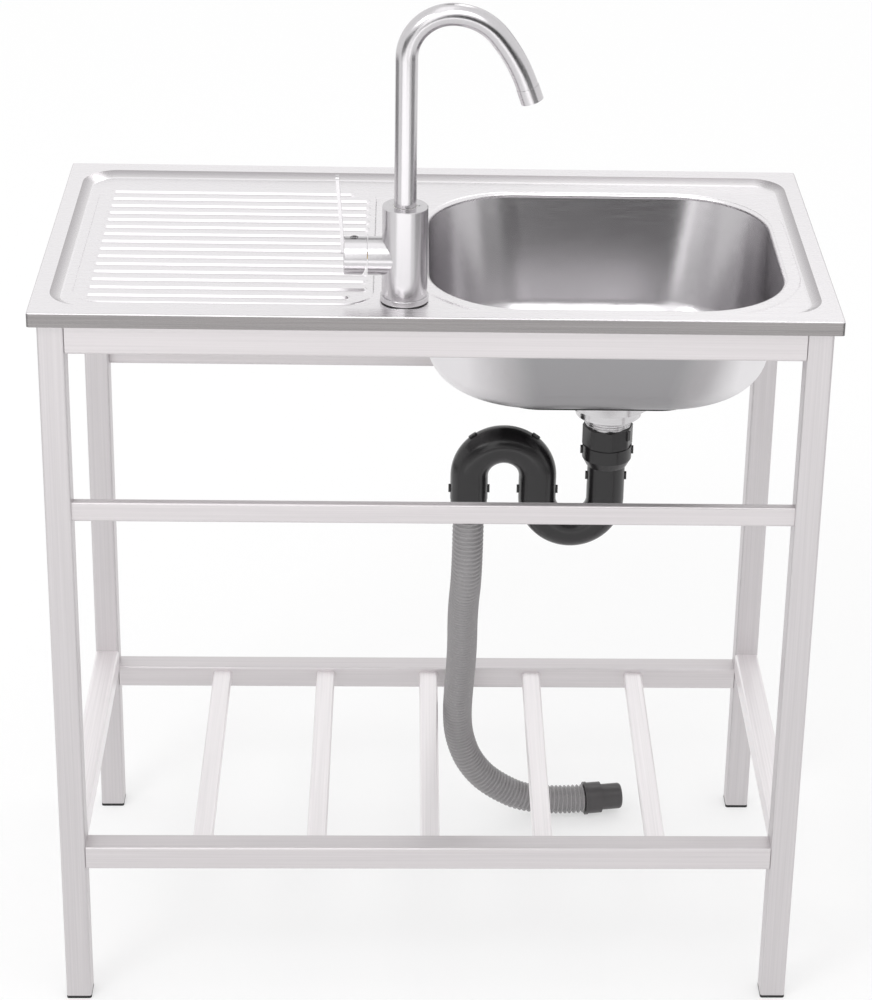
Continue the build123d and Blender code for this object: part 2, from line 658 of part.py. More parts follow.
def crown_peg(turn):
    """A moulded peg on the outside of the crown, turned from its top."""
    outward = Vector(math.sin(math.radians(turn)), 0, math.cos(math.radians(turn)))
    centre = Vector(middle_leg - BEND_RADIUS, DRAIN_Y, crown_centre)
    root = Plane(origin=centre + outward * (BEND_RADIUS + PIPE_RADIUS - PEG_ROOT), x_dir=(0, 1, 0),
                 z_dir=outward)
    with BuildPart() as peg:
        with BuildSketch(root):
            SlotOverall(PEG_HEIGHT, PEG_WIDTH, rotation=90)
        extrude(amount=PEG_ROOT + PEG_RISE)
    return peg.part


# Slip nut: an eight-sided grip with two lugs above a round skirt that narrows to the pipe.
with BuildPart() as slip_nut:
    with BuildSketch(Plane.XY.offset(nut_bottom)):
        with Locations((DRAIN_X, DRAIN_Y)):
            RegularPolygon(NUT_RADIUS, NUT_SIDES, rotation=NUT_TURN)
            Circle(NUT_RADIUS - NUT_GROOVE / 2, mode=Mode.INTERSECT)
    extrude(amount=nut_top - nut_bottom)
    lug_height = (nut_top - nut_bottom) / 2
    with BuildSketch(Plane.XY.offset(nut_top - lug_height)):
        with Locations((DRAIN_X, DRAIN_Y)):
            with PolarLocations(NUT_RADIUS - LUG_WIDTH / 2 + LUG_RISE / 2, 2, start_angle=LUG_TURN):
                Rectangle(LUG_WIDTH + LUG_RISE, LUG_WIDTH)
    extrude(amount=lug_height)
    add(turned(DRAIN_X, DRAIN_Y, [
        (pipe_pass, nut_bottom), (SKIRT_RADIUS - NUT_GROOVE, nut_bottom),
        (SKIRT_RADIUS - NUT_GROOVE, skirt_top), (SKIRT_RADIUS, skirt_top),
        (SKIRT_RADIUS, skirt_bottom), (pipe_pass + SKIRT_WALL, skirt_bottom - SKIRT_CONE),
        (pipe_pass, skirt_bottom - SKIRT_CONE)]))
    add(side_pegs(DRAIN_X, (skirt_top + skirt_bottom) / 2, SKIRT_RADIUS))
    with BuildSketch(Plane.XY.offset(nut_bottom)):
        with Locations((DRAIN_X, DRAIN_Y)):
            Circle(pipe_pass)
    extrude(amount=NUT_LIP, mode=Mode.SUBTRACT)
    with BuildSketch(Plane.XY.offset(nut_bottom + NUT_LIP)):
        with Locations((DRAIN_X, DRAIN_Y)):
            Circle(OUTLET_RADIUS + PLUG_GAP)
    extrude(amount=nut_top - nut_bottom - NUT_LIP, mode=Mode.SUBTRACT)
keep(slip_nut.part, "slip_nut")

keep(ring_piece(DRAIN_X, DRAIN_Y, pipe_bore, OUTLET_RADIUS, inlet_top, outlet_bottom), "outlet_washer")

# Trap inlet: a pipe with a flange inside the nut and a socket at its lower end.
with BuildPart() as trap_inlet:
    add(turned(DRAIN_X, DRAIN_Y, [
        (pipe_bore, inlet_top), (OUTLET_RADIUS, inlet_top), (OUTLET_RADIUS, inlet_top - PIPE_FLANGE),
        (PIPE_RADIUS, inlet_top - PIPE_FLANGE), (PIPE_RADIUS, bend_joint),
        (socket_radius, bend_joint), (socket_radius, bend_joint + SPIGOT_LENGTH + SPIGOT_GAP),
        (pipe_bore, bend_joint + SPIGOT_LENGTH + SPIGOT_GAP)]))
    add(side_pegs(DRAIN_X, bend_joint + 2 * PEG_LEVEL, PIPE_RADIUS))
keep(trap_inlet.part, "trap_inlet")

# Bend: down from the inlet, half a turn, and up to the crown, with a spigot at each end.
trap_plane = Plane.XZ.offset(-DRAIN_Y)
with BuildPart() as trap_bend:
    with BuildLine(trap_plane):
        Line((DRAIN_X, bend_joint), (DRAIN_X, bend_centre))
        ThreePointArc((DRAIN_X, bend_centre), (DRAIN_X - BEND_RADIUS, bend_centre - BEND_RADIUS),
                      (middle_leg, bend_centre))
        Line((middle_leg, bend_centre), (middle_leg, bend_joint))
    with BuildSketch(Plane(origin=(DRAIN_X, DRAIN_Y, bend_joint), z_dir=(0, 0, -1))):
        Circle(PIPE_RADIUS)
        Circle(pipe_bore, mode=Mode.SUBTRACT)
    sweep()
    for leg_x in (DRAIN_X, middle_leg):
        add(ring_piece(leg_x, DRAIN_Y, pipe_bore, spigot_radius, bend_joint, bend_joint + SPIGOT_LENGTH))
keep(trap_bend.part, "trap_bend")

# Crown: up from the bend, half a turn over the top, and down to the cuff.
with BuildPart() as trap_crown:
    with BuildLine(trap_plane):
        Line((middle_leg, bend_joint), (middle_leg, crown_centre))
        ThreePointArc((middle_leg, crown_centre), (middle_leg - BEND_RADIUS, crown_centre + BEND_RADIUS),
                      (hose_leg, crown_centre))
        Line((hose_leg, crown_centre), (hose_leg, cuff_joint))
    with BuildSketch(Plane(origin=(middle_leg, DRAIN_Y, bend_joint), z_dir=(0, 0, 1))):
        Circle(PIPE_RADIUS)
        Circle(pipe_bore, mode=Mode.SUBTRACT)
    sweep()
    fillet(trap_crown.edges().group_by(Axis.Z)[0].sort_by(SortBy.RADIUS)[-1], radius=LEG_END_ROUND)
    with BuildSketch(Plane.XY.offset(bend_joint)):
        with Locations((middle_leg, DRAIN_Y)):
            Circle(socket_radius)
    extrude(amount=SPIGOT_LENGTH + SPIGOT_GAP, mode=Mode.SUBTRACT)
    for leg_x in (middle_leg, hose_leg):
        add(side_pegs(leg_x, cuff_joint + PEG_LEVEL, PIPE_RADIUS))
    for turn in (-CROWN_PEG_TURN, CROWN_PEG_TURN):
        add(crown_peg(turn))
keep(trap_crown.part, "trap_crown")

# Cuff: its spigot sits in the crown's bore, and the hose meets its lower face.
cuff_spigot = pipe_bore - SPIGOT_GAP
keep(turned(hose_leg, DRAIN_Y, [
    (HOSE_BORE, cuff_bottom), (CUFF_RADIUS, cuff_bottom), (CUFF_RADIUS, cuff_joint),
    (cuff_spigot, cuff_joint), (cuff_spigot, cuff_joint + SPIGOT_LENGTH),
    (HOSE_BORE, cuff_joint + SPIGOT_LENGTH)]), "hose_cuff")


# ==== Drain hose ====

# The hose's route: down from the cuff, back through the shelf, and to the right by the floor.
HOSE_ROUTE = [
    (hose_leg, DRAIN_Y, cuff_bottom),
    (hose_leg, DRAIN_Y, cuff_bottom - HOSE_FIRST_RUN),
    (33.0, 23.0, 334.5),
    (34.5, 66.0, 260.0),
    (32.5, 99.5, 198.0),
    (31.5, 119.0, 150.5),
    (34.5, 129.5, 116.0),
    (46.0, 136.0, 80.0),
    (70.8, 141.3, 47.9),
    (120.5, 148.0, 18.5),
    (178.0, 156.5, 18.5),
]


def route_radii(points):
    """For each corner, a share of its shorter run divided by the tangent of half its turn."""
    radii = []
    for before, corner, after in zip(points, points[1:], points[2:]):
        run_in = Vector(*corner) - Vector(*before)
        run_out = Vector(*after) - Vector(*corner)
        half_turn = math.radians(run_in.get_angle(run_out) / 2)
        radii.append(HOSE_CORNER_SHARE * min(run_in.length, run_out.length) / math.tan(half_turn))
    return radii


hose_radii = route_radii(HOSE_ROUTE)
print("hose radii", [round(radius) for radius in hose_radii])
with BuildLine() as hose_path:
    FilletPolyline(*HOSE_ROUTE, radius=hose_radii)
hose_wire = hose_path.wire()
hose_length = hose_wire.length


def hose_circle(distance, radius):
    """A circle square to the route at a distance along it, on a steady X axis."""
    at = min(max(distance / hose_length, 0), 1)
    tangent = hose_wire.tangent_at(at)
    steady = Vector(0, 1, 0)
    x_axis = steady - tangent * steady.dot(tangent)
    plane = Plane(origin=hose_wire.position_at(at), x_dir=x_axis, z_dir=tangent)
    return Wire([Edge.make_circle(radius, plane)])


# One rib: a valley, a rise and a crest, given as shares of the pitch.
RIB_PROFILE = ((0.0, HOSE_VALLEY), (0.3, HOSE_VALLEY), (0.45, HOSE_RADIUS), (0.85, HOSE_RADIUS))
rib_total = round(hose_length / HOSE_PITCH)
rib_step = hose_length / rib_total
rings = []
for rib in range(rib_total):
    for share, radius in RIB_PROFILE:
        rings.append(hose_circle((rib + share) * rib_step, radius))
rings.append(hose_circle(hose_length, HOSE_VALLEY))

with BuildPart() as drain_hose:
    add(Solid.make_loft(rings, True))
    outer_volume = drain_hose.part.volume
    with BuildSketch(Plane(origin=HOSE_ROUTE[0], z_dir=(0, 0, -1))):
        Circle(HOSE_BORE)
    sweep(path=hose_wire, mode=Mode.SUBTRACT)
bore_volume = outer_volume - drain_hose.part.volume
bore_expected = math.pi * HOSE_BORE ** 2 * hose_length
print("hose length", round(hose_length, 1), "ribs", rib_total)
print("hose bore volume", round(bore_volume), "and by section times length", round(bore_expected))
keep(drain_hose.part, "drain_hose")

# End connector: a beaded cuff on the hose and a narrower nozzle, both bored through.
end_plane = Plane(origin=HOSE_ROUTE[-1], z_dir=Vector(*HOSE_ROUTE[-1]) - Vector(*HOSE_ROUTE[-2]))
with BuildPart() as hose_end_connector:
    with BuildSketch(end_plane):
        Circle(CONNECTOR_RADIUS)
    extrude(amount=CONNECTOR_BEAD)
    with BuildSketch(end_plane.offset(CONNECTOR_BEAD)):
        Circle(CONNECTOR_RADIUS - CONNECTOR_STEP)
    extrude(amount=CONNECTOR_LENGTH - CONNECTOR_BEAD)
    with BuildSketch(end_plane.offset(CONNECTOR_LENGTH)):
        Circle(NOZZLE_RADIUS)
    extrude(amount=NOZZLE_LENGTH)
    fillet(hose_end_connector.faces().sort_by(Axis(end_plane.origin, end_plane.z_dir))[-1].edges(),
           radius=NOZZLE_ROUND)
    with BuildSketch(end_plane):
        Circle(NOZZLE_RADIUS - NOZZLE_WALL)
    extrude(amount=CONNECTOR_LENGTH + NOZZLE_LENGTH, mode=Mode.SUBTRACT)
keep(hose_end_connector.part, "hose_end_connector")


# ==== Tap: parts under and on the deck ====

gasket_top = RECESS_FLOOR + TAP_GASKET
body_bottom = gasket_top + TAP_RING_HEIGHT
body_top = body_bottom + TAP_HEIGHT
shank_pass = SHANK_RADIUS + PLUG_GAP
ring_radius = TAP_RADIUS + TAP_RING_STEP
keep(ring_piece(TAP_X, TAP_Y, shank_pass, TAP_RADIUS, RECESS_FLOOR, gasket_top), "tap_base_gasket")

with BuildPart() as tap_base_ring:
    add(ring_piece(TAP_X, TAP_Y, shank_pass, ring_radius, gasket_top, body_bottom))
    fillet(tap_base_ring.edges().group_by(Axis.Z)[-1].sort_by(SortBy.RADIUS)[-1],
           radius=TAP_RING_STEP / 2)
keep(tap_base_ring.part, "tap_base_ring")

shank_top = body_bottom + SHANK_ENGAGED
shank_bore = SHANK_RADIUS - SHANK_WALL
keep(ring_piece(TAP_X, TAP_Y, shank_bore, SHANK_RADIUS, shank_top - SHANK_LENGTH, shank_top),
     "tap_shank")

rubber_top = RECESS_FLOOR - SHEET
steel_top = rubber_top - RUBBER_WASHER
lock_nut_top = steel_top - STEEL_WASHER
keep(ring_piece(TAP_X, TAP_Y, shank_pass, UNDER_WASHER_RADIUS, steel_top, rubber_top),
     "tap_rubber_washer")
keep(ring_piece(TAP_X, TAP_Y, shank_pass, UNDER_WASHER_RADIUS, lock_nut_top, steel_top),
     "tap_steel_washer")

with BuildPart() as tap_lock_nut:
    with BuildSketch(Plane.XY.offset(lock_nut_top - LOCK_NUT_HEIGHT)):
        with Locations((TAP_X, TAP_Y)):
            RegularPolygon(LOCK_NUT_RADIUS, 6)
            Circle(shank_pass, mode=Mode.SUBTRACT)
    extrude(amount=LOCK_NUT_HEIGHT)
keep(tap_lock_nut.part, "tap_lock_nut")


# ==== Tap: body and cartridge ====

branch_z = body_bottom + BRANCH_HEIGHT


def across(distance):
    """A plane square to the branch, facing away from the body, at a distance from the tap's axis."""
    return Plane(origin=(TAP_X - distance, TAP_Y, branch_z), x_dir=(0, 1, 0), z_dir=(-1, 0, 0))


spout_pass = SPOUT_RADIUS + RUNNING_GAP
bush_radius = spout_pass + BUSH_WALL
screw_x = TAP_X + bush_radius + PLUG_GAP + SCREW_RADIUS
chamber_bottom = shank_top + INLET_HOLE_DEPTH
with BuildPart() as tap_body:
    with BuildSketch(Plane.XY.offset(body_bottom)):
        with Locations((TAP_X, TAP_Y)):
            Circle(TAP_RADIUS)
    extrude(amount=TAP_HEIGHT)
    chamfer(tap_body.edges().group_by(Axis.Z)[-1], length=TAP_RING_STEP / 2)
    with BuildSketch(across(0)):
        Circle(BRANCH_RADIUS)
    extrude(amount=BRANCH_END)
    # Thread for the shank, the two supply holes and the chamber above them.
    with BuildSketch(Plane.XY.offset(body_bottom)):
        with Locations((TAP_X, TAP_Y)):
            Circle(SHANK_RADIUS + RUNNING_GAP)
    extrude(amount=SHANK_ENGAGED, mode=Mode.SUBTRACT)
    with BuildSketch(Plane.XY.offset(shank_top)):
        with Locations((TAP_X - INLET_HOLE_SPREAD, TAP_Y), (TAP_X + INLET_HOLE_SPREAD, TAP_Y)):
            Circle(INLET_HOLE_RADIUS)
    extrude(amount=INLET_HOLE_DEPTH, mode=Mode.SUBTRACT)
    with BuildSketch(Plane.XY.offset(chamber_bottom)):
        with Locations((TAP_X, TAP_Y)):
            Circle(bush_radius)
    extrude(amount=body_top - chamber_bottom, mode=Mode.SUBTRACT)
    # Bores for the cartridge and its retaining nut.
    with BuildSketch(across(BRANCH_END)):
        Circle(RETAINER_RADIUS + RUNNING_GAP)
    extrude(amount=-(BRANCH_END - CARTRIDGE_TOP), mode=Mode.SUBTRACT)
    with BuildSketch(across(CARTRIDGE_TOP)):
        Circle(CARTRIDGE_RADIUS + RUNNING_GAP)
    extrude(amount=-CARTRIDGE_LENGTH, mode=Mode.SUBTRACT)
    with Locations((screw_x, TAP_Y, body_top)):
        Hole(SCREW_RADIUS + RUNNING_GAP, depth=SCREW_LENGTH)
keep(tap_body.part, "tap_body")


def grub_screw(x, base, top, radius):
    """An upright headless screw with a hex socket in its top."""
    with BuildPart() as screw:
        with BuildSketch(Plane.XY.offset(base)):
            with Locations((x, TAP_Y)):
                Circle(radius)
        extrude(amount=top - base)
        with BuildSketch(Plane.XY.offset(top)):
            with Locations((x, TAP_Y)):
                RegularPolygon(radius * HEX_SHARE, 6)
        extrude(amount=-HEX_DEPTH, mode=Mode.SUBTRACT)
    return screw.part


keep(grub_screw(screw_x, body_top - SCREW_LENGTH, body_top - PLUG_GAP, SCREW_RADIUS),
     "spout_retaining_screw")

spout_seat = body_top - SPOUT_SEAT_DEPTH
keep(ring_piece(TAP_X, TAP_Y, spout_pass, bush_radius, spout_seat, body_top - BUSH_DROP), "spout_bush")

# Cartridge: a fixed cylinder with a socket for the turning carrier.
with BuildPart() as cartridge:
    with BuildSketch(across(CARTRIDGE_TOP)):
        Circle(CARTRIDGE_RADIUS)
    extrude(amount=-(CARTRIDGE_LENGTH - RUNNING_GAP))
    with BuildSketch(across(CARTRIDGE_TOP)):
        Circle(CARRIER_RADIUS + RUNNING_GAP)
    extrude(amount=-(CARRIER_LENGTH + RUNNING_GAP), mode=Mode.SUBTRACT)
keep(cartridge.part, "cartridge")

# Carrier: turns about the branch and holds the cross pin of the stem.
tilt = math.radians(LEVER_TILT)
slot_half = STEM_SIZE / 2 + (CARTRIDGE_TOP - PIVOT) * math.tan(tilt) + STEM_PIN_RADIUS
with BuildPart() as cartridge_carrier:
    with BuildSketch(across(CARTRIDGE_TOP)):
        Circle(CARRIER_RADIUS)
        Rectangle(STEM_SIZE + 2 * RUNNING_GAP, 2 * slot_half, mode=Mode.SUBTRACT)
    extrude(amount=-CARRIER_LENGTH)
    with Locations((TAP_X - PIVOT, TAP_Y, branch_z)):
        Cylinder(STEM_PIN_RADIUS + RUNNING_GAP, 2 * CARRIER_RADIUS, rotation=(90, 0, 0),
                 mode=Mode.SUBTRACT)
keep(cartridge_carrier.part, "cartridge_carrier")

with BuildPart() as cartridge_stem:
    with BuildSketch(across(STEM_INNER)):
        Rectangle(STEM_SIZE, STEM_SIZE)
    extrude(amount=STEM_OUTER - STEM_INNER)
    with Locations((TAP_X - PIVOT, TAP_Y, branch_z)):
        Cylinder(STEM_PIN_RADIUS, STEM_PIN_LENGTH, rotation=(90, 0, 0))
keep(cartridge_stem.part, "cartridge_stem")

with BuildPart() as cartridge_nut:
    with BuildSketch(across(CARTRIDGE_TOP + RETAINER_GAP)):
        Circle(RETAINER_RADIUS)
        Circle(RETAINER_BORE, mode=Mode.SUBTRACT)
    extrude(amount=BRANCH_END - CARTRIDGE_TOP - 2 * RETAINER_GAP)
keep(cartridge_nut.part, "cartridge_nut")


# ==== Tap: handle ====

hub_face = BRANCH_END + HUB_GAP
hub_end = hub_face + HUB_LENGTH
screw_place = (hub_face + HUB_HOLLOW + STEM_OUTER) / 2


def tilted(out, down):
    """A point by its distances from the pivot when the lever is fully tilted, at rest."""
    return (TAP_X - PIVOT - out * math.cos(tilt) - down * math.sin(tilt),
            branch_z + out * math.sin(tilt) - down * math.cos(tilt))


# Hub: a cap over the branch's end. Its lower half is cut back, so that it meets the branch
# squarely when the lever is fully tilted.
stop = BRANCH_END + TILT_GAP - PIVOT
cut_start = ((hub_face - PIVOT) - stop * math.cos(tilt)) / math.sin(tilt)
cut_end = 2 * BRANCH_RADIUS
with BuildPart() as handle_hub:
    with BuildSketch(across(hub_face)):
        Circle(BRANCH_RADIUS)
    extrude(amount=HUB_LENGTH)
    fillet(handle_hub.edges().group_by(Axis.X)[0], radius=HUB_EDGE)
    with BuildSketch(across(hub_face)):
        Circle(BRANCH_RADIUS - HUB_WALL)
    extrude(amount=HUB_HOLLOW, mode=Mode.SUBTRACT)
    with BuildSketch(across(hub_face + HUB_HOLLOW)):
        Rectangle(STEM_SIZE + 2 * RUNNING_GAP, STEM_SIZE + 2 * RUNNING_GAP)
    extrude(amount=STEM_OUTER - hub_face - HUB_HOLLOW + PLUG_GAP, mode=Mode.SUBTRACT)
    with BuildSketch(Plane.XZ.offset(-TAP_Y)):
        with BuildLine():
            cut_low = tilted(stop, cut_end)
            cut_high = tilted(stop, cut_start)
            Polyline(cut_high, cut_low, (TAP_X - BRANCH_END, cut_low[1]),
                     (TAP_X - BRANCH_END, cut_high[1]), close=True)
        make_face()
    extrude(amount=2 * BRANCH_RADIUS, both=True, mode=Mode.SUBTRACT)
    with Locations((TAP_X - screw_place, TAP_Y, branch_z + BRANCH_RADIUS)):
        Hole(HANDLE_SCREW_RADIUS + RUNNING_GAP, depth=BRANCH_RADIUS - STEM_SIZE / 2)
keep(handle_hub.part, "handle_hub")

keep(grub_screw(TAP_X - screw_place, branch_z + STEM_SIZE / 2, branch_z + BRANCH_RADIUS - HUB_EDGE,
                HANDLE_SCREW_RADIUS), "handle_screw")

# Lever: a flat blade fixed to the hub's end, which leans outwards above the hub.
blade_x = TAP_X - hub_end
blade_bend = branch_z + BRANCH_RADIUS
blade_low = blade_bend - BLADE_OVERLAP
blade_top = blade_bend + BLADE_LENGTH
blade_reach = BLADE_LENGTH * math.tan(math.radians(BLADE_LEAN))
with BuildPart() as lever:
    with BuildSketch(Plane.XZ.offset(-TAP_Y)):
        with BuildLine():
            Polyline((blade_x, blade_low), (blade_x, blade_bend), (blade_x - blade_reach, blade_top),
                     (blade_x - blade_reach - BLADE_THICKNESS, blade_top),
                     (blade_x - BLADE_THICKNESS, blade_bend), (blade_x - BLADE_THICKNESS, blade_low),
                     close=True)
        make_face()
    extrude(amount=BLADE_WIDTH / 2, both=True)
    fillet(lever.edges().filter_by(Axis.X).group_by(Axis.Z)[-1], radius=BLADE_ROUND)
    fillet(lever.edges().filter_by(Axis.X).group_by(Axis.Z)[0], radius=BLADE_ROUND)
keep(lever.part, "lever")


# ==== Spout ====

thick_top = spout_seat + SPOUT_END_LENGTH
arch_start = body_top + SPOUT_RISE
apex_x = TAP_X + ARCH_NEAR_RADIUS
apex_z = arch_start + ARCH_NEAR_RADIUS


def on_arch(start, radius, turn_from, turn_to):
    """The point where an arc of the arch ends, from its start and its turns past the apex."""
    before = math.radians(turn_from)
    after = math.radians(turn_to)
    return (start[0] + radius * (math.sin(after) - math.sin(before)),
            start[1] + radius * (math.cos(after) - math.cos(before)))


near_half = ARCH_NEAR_RADIUS * math.sin(math.radians(45))
apex = (apex_x, apex_z)
low_middle = (ARCH_FAR_TURN + OUTLET_TURN) / 2
far_half = on_arch(apex, ARCH_FAR_RADIUS, 0, ARCH_FAR_TURN / 2)
far_end = on_arch(apex, ARCH_FAR_RADIUS, 0, ARCH_FAR_TURN)
low_half = on_arch(far_end, ARCH_LOW_RADIUS, ARCH_FAR_TURN, low_middle)
low_end = on_arch(far_end, ARCH_LOW_RADIUS, ARCH_FAR_TURN, OUTLET_TURN)
outlet_direction = Vector(math.cos(math.radians(OUTLET_TURN)), 0, -math.sin(math.radians(OUTLET_TURN)))
seam = Vector(low_end[0], TAP_Y, low_end[1])

with BuildPart() as spout:
    with BuildLine(Plane.XZ.offset(-TAP_Y)):
        Line((TAP_X, thick_top), (TAP_X, arch_start))
        ThreePointArc((TAP_X, arch_start), (apex_x - near_half, arch_start + near_half), apex)
        ThreePointArc(apex, far_half, far_end)
        ThreePointArc(far_end, low_half, low_end)
    with BuildSketch(Plane.XY.offset(thick_top)):
        with Locations((TAP_X, TAP_Y)):
            Circle(SPOUT_RADIUS)
            Circle(SPOUT_RADIUS - SPOUT_WALL, mode=Mode.SUBTRACT)
    sweep()
    # The lower end is thicker, for the two ring grooves.
    add(ring_piece(TAP_X, TAP_Y, SPOUT_RADIUS - SPOUT_END_WALL, SPOUT_RADIUS, spout_seat, thick_top))
    for height in RING_HEIGHTS:
        groove_middle = spout_seat + height
        add(ring_piece(TAP_X, TAP_Y, SPOUT_RADIUS - 2 * RING_WIRE - PLUG_GAP, spout_pass,
                       groove_middle - RING_GROOVE / 2, groove_middle + RING_GROOVE / 2),
            mode=Mode.SUBTRACT)
keep(spout.part, "spout")

with BuildPart() as spout_o_rings:
    with Locations(*[(TAP_X, TAP_Y, spout_seat + height) for height in RING_HEIGHTS]):
        Torus(SPOUT_RADIUS - RING_WIRE, RING_WIRE)
keep(spout_o_rings.part, "spout_o_rings")

seam_plane = Plane(origin=seam, x_dir=(0, 1, 0), z_dir=outlet_direction)
aerator_bore = SPOUT_RADIUS + AERATOR_STEP - AERATOR_WALL
with BuildPart() as aerator_housing:
    with BuildSketch(seam_plane):
        Circle(SPOUT_RADIUS + AERATOR_STEP)
        Circle(aerator_bore, mode=Mode.SUBTRACT)
    extrude(amount=AERATOR_LENGTH)
keep(aerator_housing.part, "aerator_housing")

with BuildPart() as aerator_insert:
    with BuildSketch(seam_plane.offset(AERATOR_LENGTH - AERATOR_INSERT - AERATOR_HOLE)):
        Circle(aerator_bore - PLUG_GAP)
        with GridLocations(AERATOR_HOLE_PITCH, AERATOR_HOLE_PITCH, AERATOR_HOLE_ROWS, AERATOR_HOLE_ROWS):
            Circle(AERATOR_HOLE, mode=Mode.SUBTRACT)
    extrude(amount=AERATOR_INSERT)
keep(aerator_insert.part, "aerator_insert")
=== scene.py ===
# %% [markdown]
# # Kitchen sink unit
# A pressed steel deck with a ribbed drainer and a deep bowl stands on a frame of welded and bolted
# square tube. A swivel tap stands between drainer and bowl, and under the bowl hang a strainer, a
# black plastic trap and a grey ribbed hose that ends near the floor. This script gives them their
# finishes, makes the softer shapes that CAD leaves plain, and sets up the studio.

# %% Load the frame
import bmesh
import bpy
import json
import math
from mathutils import Matrix, Vector


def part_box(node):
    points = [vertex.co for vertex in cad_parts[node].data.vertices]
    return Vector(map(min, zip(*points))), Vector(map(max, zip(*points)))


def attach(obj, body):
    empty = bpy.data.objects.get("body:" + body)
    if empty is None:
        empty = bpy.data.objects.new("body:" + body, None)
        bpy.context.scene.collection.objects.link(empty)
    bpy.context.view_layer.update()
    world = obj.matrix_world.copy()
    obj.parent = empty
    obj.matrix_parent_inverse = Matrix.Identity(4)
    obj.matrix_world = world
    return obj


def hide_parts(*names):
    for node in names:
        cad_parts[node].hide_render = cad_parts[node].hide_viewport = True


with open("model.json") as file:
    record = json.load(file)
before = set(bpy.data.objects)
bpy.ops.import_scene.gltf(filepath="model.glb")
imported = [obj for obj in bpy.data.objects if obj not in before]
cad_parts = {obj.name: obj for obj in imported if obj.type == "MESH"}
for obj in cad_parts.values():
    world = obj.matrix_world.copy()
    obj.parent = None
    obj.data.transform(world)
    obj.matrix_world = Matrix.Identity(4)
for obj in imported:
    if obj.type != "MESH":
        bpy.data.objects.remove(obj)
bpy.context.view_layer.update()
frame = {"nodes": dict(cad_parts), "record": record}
nodes = frame["nodes"]

# %% [markdown]
# ## Camera
# The photograph was taken from in front of the unit, a little left of its middle and well above
# it, with a long lens. Blender's camera looks down its own -Z axis, so it is tilted up from
# straight down, turned a little about the upright axis and rolled. The picture is a crop, so the
# lens axis isn't in its middle, and the two shift values say how far off it is.

# %% Camera
LENS_MM = 103.33
EYE = Vector((-0.03435, -2.61636, 1.78509))
PITCH_DOWN, YAW, ROLL = 24.062, 3.130, 1.856
SHIFT = (-0.10776, -0.12567)

camera = bpy.data.objects.new("camera", bpy.data.cameras.new("camera"))
bpy.context.scene.collection.objects.link(camera)
camera.data.lens = LENS_MM
camera.data.shift_x, camera.data.shift_y = SHIFT
camera.data.clip_start, camera.data.clip_end = 0.1, 50
turn = (Matrix.Rotation(math.radians(-YAW), 4, "Z")
        @ Matrix.Rotation(math.radians(90 - PITCH_DOWN), 4, "X")
        @ Matrix.Rotation(math.radians(ROLL), 4, "Z"))
camera.matrix_world = Matrix.Translation(EYE) @ turn
bpy.context.scene.camera = camera
print("camera", round(EYE.length, 2), "m from the origin")

# %% [markdown]
# ## Drain hose
# A thin blow-moulded hose is light and springy: it drops straight out of its cuff, swings back
# through the shelf between two slats and curls forward above the floor. One smooth NURBS spline
# follows that route. Bevelling the curve would give a plain tube, so the ribs are rings of
# different radius set square to the spline and bridged one to the next. The radii below are in
# millimetres, each at its share of one rib's length.

# %% Hose route
HOSE_ROUTE = [(0.036, -0.013, 0.463), (0.036, -0.013, 0.398), (0.033, 0.023, 0.3345),
              (0.0345, 0.066, 0.260), (0.0325, 0.0995, 0.198), (0.0315, 0.119, 0.1505),
              (0.0345, 0.1295, 0.116), (0.046, 0.136, 0.080), (0.0708, 0.1413, 0.0479),
              (0.1205, 0.148, 0.0185), (0.178, 0.1565, 0.0185)]

curve = bpy.data.curves.new("hose_route", "CURVE")
curve.dimensions = "3D"
curve.resolution_u = 40
spline = curve.splines.new("NURBS")
spline.points.add(len(HOSE_ROUTE) - 1)
for point, place in zip(spline.points, HOSE_ROUTE):
    point.co = (*place, 1)
spline.order_u = 3
spline.use_endpoint_u = True
route_object = bpy.data.objects.new("hose_route", curve)
line = [v.co.copy() for v in bpy.data.meshes.new_from_object(route_object).vertices]
bpy.data.objects.remove(route_object)
reach = [0.0]
for a, b in zip(line, line[1:]):
    reach.append(reach[-1] + (b - a).length)
print("hose route", len(line), "points,", round(reach[-1] * 1000), "mm")


# %% Places along the route
def on_route(distance):
    """The point and direction of the route at a distance from its start."""
    at = min(max(distance, 0), reach[-1])
    i = max(k for k in range(len(reach) - 1) if reach[k] <= at)
    step = line[i + 1] - line[i]
    return line[i] + step * ((at - reach[i]) / step.length), step.normalized()


def ring(bm, distance, radius, sides=32):
    """A circle of edges round the route, square to it, with its first corner towards +Y."""
    place, ahead = on_route(distance)
    side = Vector((0, 1, 0))
    side = (side - ahead * side.dot(ahead)).normalized()
    turn = Matrix((side, ahead.cross(side), ahead)).transposed().to_4x4()
    made = bmesh.ops.create_circle(bm, segments=sides, radius=radius,
                                   matrix=Matrix.Translation(place) @ turn)
    return list({e for v in made["verts"] for e in v.link_edges})


print("middle of the hose", [round(v, 3) for v in on_route(reach[-1] / 2)[0]])


# %% Ribbed hose
RIBS = 115
RIB_VALLEY = 13.7
RIB_SHAPE = [(0.00, RIB_VALLEY), (0.20, RIB_VALLEY), (0.32, 14.6), (0.44, 15.7), (0.56, 16.0),
             (0.68, 15.9), (0.80, 15.2), (0.92, 14.0)]
BORE = 0.0125

